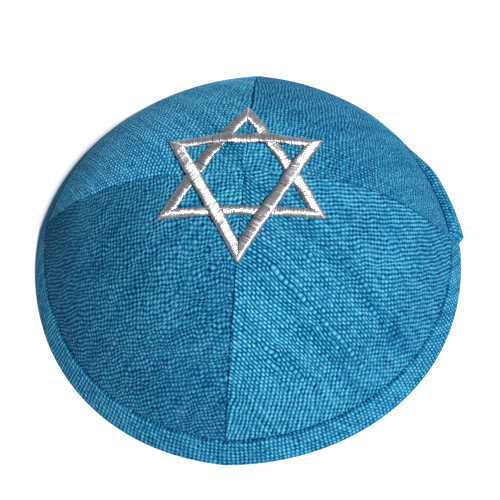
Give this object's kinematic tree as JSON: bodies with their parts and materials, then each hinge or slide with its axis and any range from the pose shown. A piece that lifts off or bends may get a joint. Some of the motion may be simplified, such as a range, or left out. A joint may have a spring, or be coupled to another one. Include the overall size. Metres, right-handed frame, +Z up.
{
  "type": "kippah skullcap",
  "caption": "Shallow domed cloth skullcap of sewn panels with a bound rim and a raised satin-stitched six-pointed star over the crown.",
  "frame": {"origin": "on the table, under the middle of the rim's outline", "axes": "+Z up through the crown; -Y to the front, where the star's lowest point is; the side seams along X"},
  "size_m": [0.17, 0.1688, 0.0532],
  "materials": {
    "cap_cloth": "matte slubbed plain weave",
    "star_thread": "glossy silver rayon satin stitch"
  },
  "bodies": {
    "root": {"panel_front_left": "cap_cloth", "panel_front_right": "cap_cloth", "panel_back_left": "cap_cloth", "panel_back_right": "cap_cloth", "rim_band": "cap_cloth", "star_triangle_up": "star_thread", "star_triangle_down": "star_thread"}
  },
  "joints": []
}
